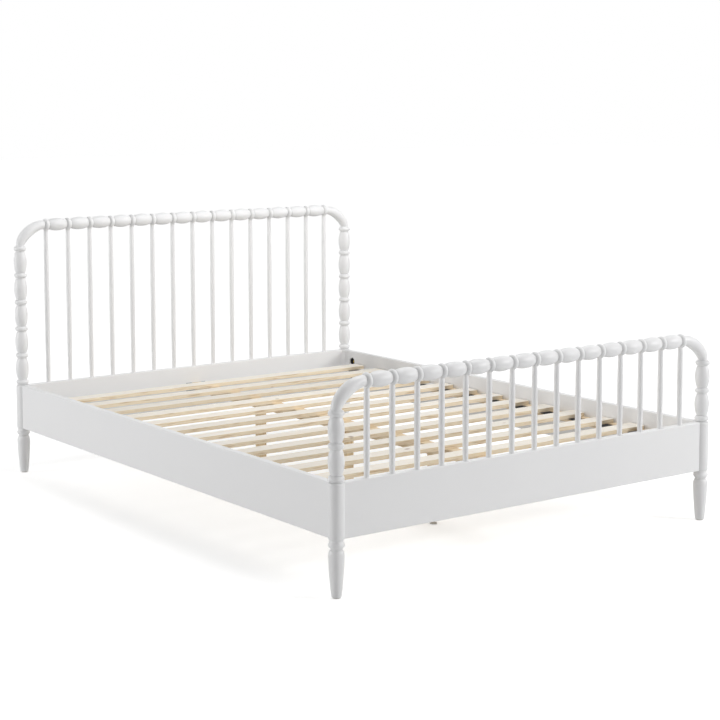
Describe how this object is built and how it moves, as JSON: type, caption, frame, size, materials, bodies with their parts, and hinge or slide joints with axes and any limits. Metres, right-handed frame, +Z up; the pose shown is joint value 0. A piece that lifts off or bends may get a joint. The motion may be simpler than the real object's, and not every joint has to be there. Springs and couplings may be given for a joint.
{
  "type": "spindle bed",
  "caption": "Painted wooden bed frame with ring-and-barrel turned posts and top rails, slim spindles at head and foot, bowed elbows and a slatted base.",
  "frame": {"origin": "on the floor, midway between the four posts", "axes": "+X across the bed, +Y towards the head, +Z up"},
  "size_m": [1.61, 2.1299, 0.9926],
  "materials": {
    "painted_wood": "satin white paint",
    "slat_pine": "planed, unfinished",
    "support_pine": "planed, unfinished",
    "strap_webbing": "woven tape",
    "zinc_steel": "bright zinc plate",
    "yellow_zinc_steel": "yellow zinc plate",
    "black_steel": "black oxide",
    "beech_dowel": "fluted, unfinished",
    "glide_plastic": "moulded"
  },
  "bodies": {
    "root": {"beam_bracket_foot": "zinc_steel", "beam_bracket_head": "zinc_steel", "bracket_screws": "zinc_steel", "centre_beam": "support_pine", "centre_leg_foot": "support_pine", "centre_leg_head": "support_pine", "centre_leg_middle": "support_pine", "cleat_screws": "zinc_steel", "elbow_dowels": "beech_dowel", "foot_elbows": "painted_wood", "foot_panel": "painted_wood", "foot_post_left": "painted_wood", "foot_post_right": "painted_wood", "foot_spindles": "painted_wood", "foot_top_rail": "painted_wood", "half_moon_washers": "black_steel", "head_cleat_left": "painted_wood", "head_cleat_right": "painted_wood", "head_elbows": "painted_wood", "head_panel": "painted_wood", "head_post_left": "painted_wood", "head_post_right": "painted_wood", "head_spindles": "painted_wood", "head_top_rail": "painted_wood", "leg_bolts": "yellow_zinc_steel", "leveller_nuts": "yellow_zinc_steel", "levellers": "glide_plastic", "post_glides": "glide_plastic", "rail_bolts": "yellow_zinc_steel", "rail_nuts": "yellow_zinc_steel", "side_rail_left": "painted_wood", "side_rail_right": "painted_wood", "slat_01": "slat_pine", "slat_02": "slat_pine", "slat_03": "slat_pine", "slat_04": "slat_pine", "slat_05": "slat_pine", "slat_06": "slat_pine", "slat_07": "slat_pine", "slat_08": "slat_pine", "slat_09": "slat_pine", "slat_10": "slat_pine", "slat_11": "slat_pine", "slat_12": "slat_pine", "slat_13": "slat_pine", "slat_cleat_left": "support_pine", "slat_cleat_right": "support_pine", "slat_strap_left": "strap_webbing", "slat_strap_right": "strap_webbing"}
  },
  "joints": []
}
